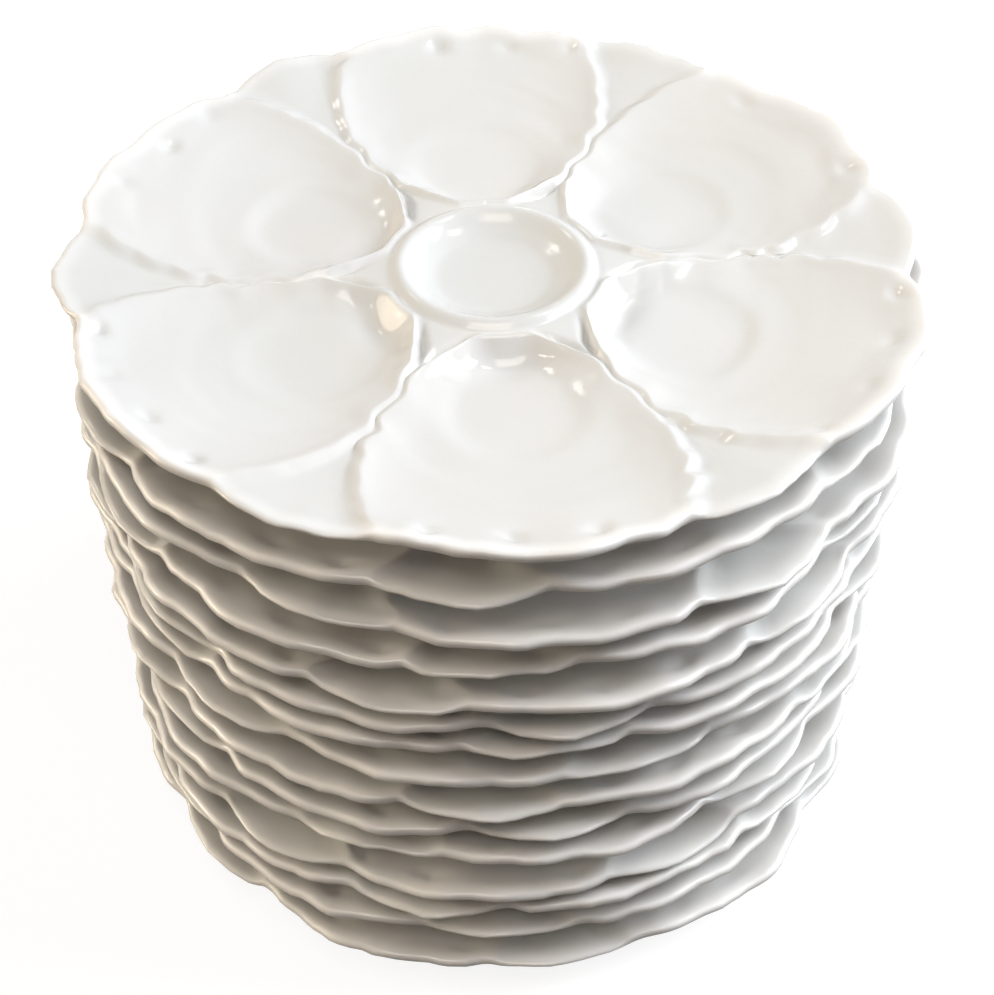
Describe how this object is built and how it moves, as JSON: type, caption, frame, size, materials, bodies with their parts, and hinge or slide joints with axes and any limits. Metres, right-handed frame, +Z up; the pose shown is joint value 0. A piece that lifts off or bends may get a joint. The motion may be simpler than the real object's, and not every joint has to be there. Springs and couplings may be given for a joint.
{
  "type": "stack of oyster plates",
  "caption": "Stack of round white porcelain oyster plates, each with shell-shaped wells round a small centre well and a wavy rim.",
  "frame": {"origin": "middle of the stack's footprint, on the surface it stands on", "axes": "+Z up through the stack, -Y to the front as pictured, +X to the right"},
  "size_m": [0.236, 0.2356, 0.1907],
  "materials": {
    "porcelain": "gloss"
  },
  "bodies": {
    "bottom_plate": {"bottom_plate": "porcelain"},
    "plate_02": {"plate_02": "porcelain"},
    "plate_03": {"plate_03": "porcelain"},
    "plate_04": {"plate_04": "porcelain"},
    "plate_05": {"plate_05": "porcelain"},
    "plate_06": {"plate_06": "porcelain"},
    "plate_07": {"plate_07": "porcelain"},
    "plate_08": {"plate_08": "porcelain"},
    "plate_09": {"plate_09": "porcelain"},
    "plate_10": {"plate_10": "porcelain"},
    "plate_11": {"plate_11": "porcelain"},
    "plate_12": {"plate_12": "porcelain"},
    "plate_13": {"plate_13": "porcelain"},
    "plate_14": {"plate_14": "porcelain"},
    "top_plate": {"top_plate": "porcelain"}
  },
  "joints": [
    {"name": "plate_02_lift", "type": "slide", "parent": "bottom_plate", "child": "plate_02", "axis": [0, 0, 1], "range_m": [0, 0.03]},
    {"name": "plate_03_lift", "type": "slide", "parent": "plate_02", "child": "plate_03", "axis": [0, 0, 1], "range_m": [0, 0.03]},
    {"name": "plate_04_lift", "type": "slide", "parent": "plate_03", "child": "plate_04", "axis": [0, 0, 1], "range_m": [0, 0.03]},
    {"name": "plate_05_lift", "type": "slide", "parent": "plate_04", "child": "plate_05", "axis": [0, 0, 1], "range_m": [0, 0.03]},
    {"name": "plate_06_lift", "type": "slide", "parent": "plate_05", "child": "plate_06", "axis": [0, 0, 1], "range_m": [0, 0.03]},
    {"name": "plate_07_lift", "type": "slide", "parent": "plate_06", "child": "plate_07", "axis": [0, 0, 1], "range_m": [0, 0.03]},
    {"name": "plate_08_lift", "type": "slide", "parent": "plate_07", "child": "plate_08", "axis": [0, 0, 1], "range_m": [0, 0.03]},
    {"name": "plate_09_lift", "type": "slide", "parent": "plate_08", "child": "plate_09", "axis": [0, 0, 1], "range_m": [0, 0.03]},
    {"name": "plate_10_lift", "type": "slide", "parent": "plate_09", "child": "plate_10", "axis": [0, 0, 1], "range_m": [0, 0.03]},
    {"name": "plate_11_lift", "type": "slide", "parent": "plate_10", "child": "plate_11", "axis": [0, 0, 1], "range_m": [0, 0.03]},
    {"name": "plate_12_lift", "type": "slide", "parent": "plate_11", "child": "plate_12", "axis": [0, 0, 1], "range_m": [0, 0.03]},
    {"name": "plate_13_lift", "type": "slide", "parent": "plate_12", "child": "plate_13", "axis": [0, 0, 1], "range_m": [0, 0.03]},
    {"name": "plate_14_lift", "type": "slide", "parent": "plate_13", "child": "plate_14", "axis": [0, 0, 1], "range_m": [0, 0.03]},
    {"name": "top_plate_lift", "type": "slide", "parent": "plate_14", "child": "top_plate", "axis": [0, 0, 1], "range_m": [0, 0.03]}
  ]
}
